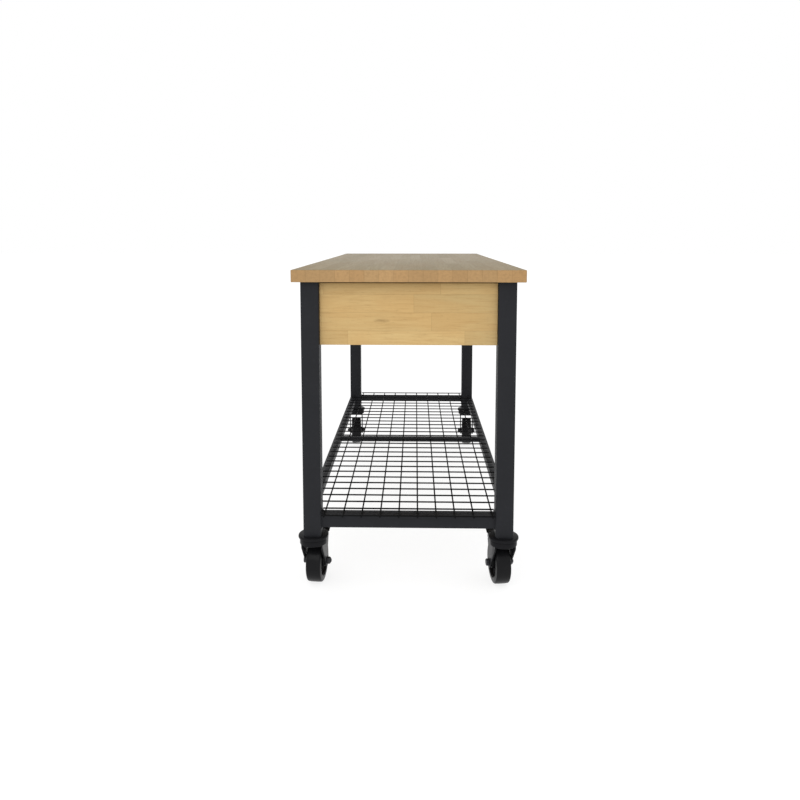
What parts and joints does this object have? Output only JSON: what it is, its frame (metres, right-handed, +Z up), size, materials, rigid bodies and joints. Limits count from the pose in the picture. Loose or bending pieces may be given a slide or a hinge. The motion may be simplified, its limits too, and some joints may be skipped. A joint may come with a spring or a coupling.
{
  "type": "butcher block table",
  "caption": "Rolling work table with a thick glued wood top, wood aprons, square black steel legs, a wire grid shelf and swivel casters.",
  "frame": {"origin": "on the floor, under the middle of the worktop", "axes": "+Z up, +Y along the table towards its far end, +X across the table to the right"},
  "size_m": [0.61, 1.49, 0.879],
  "materials": {
    "worktop_wood": "satin oiled butcher block of glued staves",
    "apron_wood": "satin lacquered finger-jointed boards",
    "leg_steel": "black powder coat, fine texture",
    "frame_steel": "black powder coat",
    "shelf_wire": "black coated wire",
    "caster_steel": "gloss black coating",
    "hub_plastic": "glossy black",
    "tyre_rubber": "smooth black",
    "axle_steel": "blackened steel",
    "zinc": "bright zinc plate"
  },
  "bodies": {
    "stand": {"worktop": "worktop_wood", "apron_near": "apron_wood", "apron_far": "apron_wood", "apron_left": "apron_wood", "apron_right": "apron_wood", "leg_near_left": "leg_steel", "leg_near_right": "leg_steel", "leg_far_left": "leg_steel", "leg_far_right": "leg_steel", "top_rail_near": "frame_steel", "top_rail_far": "frame_steel", "top_rail_left": "frame_steel", "top_rail_right": "frame_steel", "top_rail_mid": "frame_steel", "worktop_screws": "zinc", "apron_screws": "zinc", "apron_tabs": "frame_steel", "leg_plugs": "frame_steel", "shelf_rail_near": "frame_steel", "shelf_rail_far": "frame_steel", "shelf_rail_left": "frame_steel", "shelf_rail_right": "frame_steel", "shelf_rail_mid": "frame_steel", "shelf_long_wires": "shelf_wire", "shelf_cross_wires": "shelf_wire", "caster_head_near_left": "caster_steel", "caster_head_near_right": "caster_steel", "caster_head_far_left": "caster_steel", "caster_head_far_right": "caster_steel", "swivel_balls_near_left": "zinc", "swivel_balls_near_right": "zinc", "swivel_balls_far_left": "zinc", "swivel_balls_far_right": "zinc"},
    "swivel_near_left": {"fork_near_left": "caster_steel", "axle_bolt_near_left": "axle_steel", "axle_sleeve_near_left": "zinc", "pedal_pin_near_left": "zinc"},
    "wheel_near_left": {"wheel_hub_near_left": "hub_plastic", "tyre_near_left": "tyre_rubber"},
    "pedal_near_left": {"brake_pedal_near_left": "hub_plastic"},
    "swivel_near_right": {"fork_near_right": "caster_steel", "axle_bolt_near_right": "axle_steel", "axle_sleeve_near_right": "zinc", "pedal_pin_near_right": "zinc"},
    "wheel_near_right": {"wheel_hub_near_right": "hub_plastic", "tyre_near_right": "tyre_rubber"},
    "pedal_near_right": {"brake_pedal_near_right": "hub_plastic"},
    "swivel_far_left": {"fork_far_left": "caster_steel", "axle_bolt_far_left": "axle_steel", "axle_sleeve_far_left": "zinc"},
    "wheel_far_left": {"wheel_hub_far_left": "hub_plastic", "tyre_far_left": "tyre_rubber"},
    "swivel_far_right": {"fork_far_right": "caster_steel", "axle_bolt_far_right": "axle_steel", "axle_sleeve_far_right": "zinc"},
    "wheel_far_right": {"wheel_hub_far_right": "hub_plastic", "tyre_far_right": "tyre_rubber"}
  },
  "joints": [
    {"name": "swivel_near_left", "type": "hinge", "parent": "stand", "child": "swivel_near_left", "pos_m": [-0.26, -0.7, 0.144], "axis": [0, 0, 1], "continuous": true},
    {"name": "roll_near_left", "type": "hinge", "parent": "swivel_near_left", "child": "wheel_near_left", "pos_m": [-0.25634, -0.65816, 0.058], "axis": [0.9962, -0.0872, 0], "continuous": true},
    {"name": "brake_near_left", "type": "hinge", "parent": "swivel_near_left", "child": "pedal_near_left", "pos_m": [-0.25547, -0.6482, 0.1295], "axis": [0.9962, -0.0872, 0], "range_deg": [-12, 0]},
    {"name": "swivel_near_right", "type": "hinge", "parent": "stand", "child": "swivel_near_right", "pos_m": [0.26, -0.7, 0.144], "axis": [0, 0, 1], "continuous": true},
    {"name": "roll_near_right", "type": "hinge", "parent": "swivel_near_right", "child": "wheel_near_right", "pos_m": [0.25415, -0.65841, 0.058], "axis": [0.9903, 0.1392, 0], "continuous": true},
    {"name": "brake_near_right", "type": "hinge", "parent": "swivel_near_right", "child": "pedal_near_right", "pos_m": [0.25276, -0.64851, 0.1295], "axis": [0.9903, 0.1392, 0], "range_deg": [-12, 0]},
    {"name": "swivel_far_left", "type": "hinge", "parent": "stand", "child": "swivel_far_left", "pos_m": [-0.26, 0.7, 0.144], "axis": [0, 0, 1], "continuous": true},
    {"name": "roll_far_left", "type": "hinge", "parent": "swivel_far_left", "child": "wheel_far_left", "pos_m": [-0.25561, 0.65823, 0.058], "axis": [-0.9945, -0.1045, 0], "continuous": true},
    {"name": "swivel_far_right", "type": "hinge", "parent": "stand", "child": "swivel_far_right", "pos_m": [0.26, 0.7, 0.144], "axis": [0, 0, 1], "continuous": true},
    {"name": "roll_far_right", "type": "hinge", "parent": "swivel_far_right", "child": "wheel_far_right", "pos_m": [0.2578, 0.65806, 0.058], "axis": [-0.9986, 0.0523, 0], "continuous": true}
  ]
}
